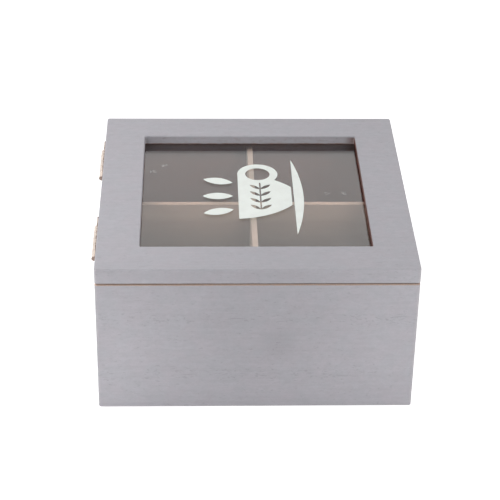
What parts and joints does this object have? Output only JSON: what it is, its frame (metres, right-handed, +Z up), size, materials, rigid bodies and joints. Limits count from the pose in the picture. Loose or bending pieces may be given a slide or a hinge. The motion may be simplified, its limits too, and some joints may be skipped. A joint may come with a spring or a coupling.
{
  "type": "tea bag box",
  "caption": "Square tabletop tea box with a hinged glazed lid, crossed dividers and two surface hinges.",
  "frame": {"origin": "centre of the underside of the box, on the table", "axes": "+Z up; +X towards the front, where the lid is lifted (the hinges are on the -X side); +Y towards the right side as seen from the front"},
  "size_m": [0.1728, 0.17, 0.0883],
  "materials": {
    "painted_board": "matt lilac-grey paint over board, faint brushed grain, raw at sanded edges",
    "raw_board": "unpainted pale wood of the dividers, fine grain",
    "dark_board": "thin wooden strips stained dark brown, matt",
    "bottom_board": "smooth brown fibreboard",
    "window_glass": "clear polished sheet glass",
    "white_print": "opaque greenish-white screen print",
    "hinge_metal": "bright pale brass, slightly tarnished in the joints"
  },
  "bodies": {
    "box": {"left_wall": "painted_board", "right_wall": "painted_board", "back_wall": "painted_board", "front_wall": "painted_board", "bottom_panel": "bottom_board", "lengthways_divider": "raw_board", "crossways_divider": "raw_board", "left_hinge_box_leaf": "hinge_metal", "right_hinge_box_leaf": "hinge_metal", "left_hinge_pin": "hinge_metal", "right_hinge_pin": "hinge_metal", "box_hinge_screws": "hinge_metal"},
    "lid": {"lid_board": "painted_board", "window_glass": "window_glass", "left_glazing_strip": "dark_board", "right_glazing_strip": "dark_board", "back_glazing_strip": "dark_board", "front_glazing_strip": "dark_board", "glass_print": "white_print", "left_hinge_lid_leaf": "hinge_metal", "right_hinge_lid_leaf": "hinge_metal", "lid_hinge_screws": "hinge_metal"}
  },
  "joints": [
    {"name": "lid_hinge", "type": "hinge", "parent": "box", "child": "lid", "pos_m": [-0.0864, 0, 0.07905], "axis": [0, -1, 0], "range_deg": [0, 180]}
  ]
}
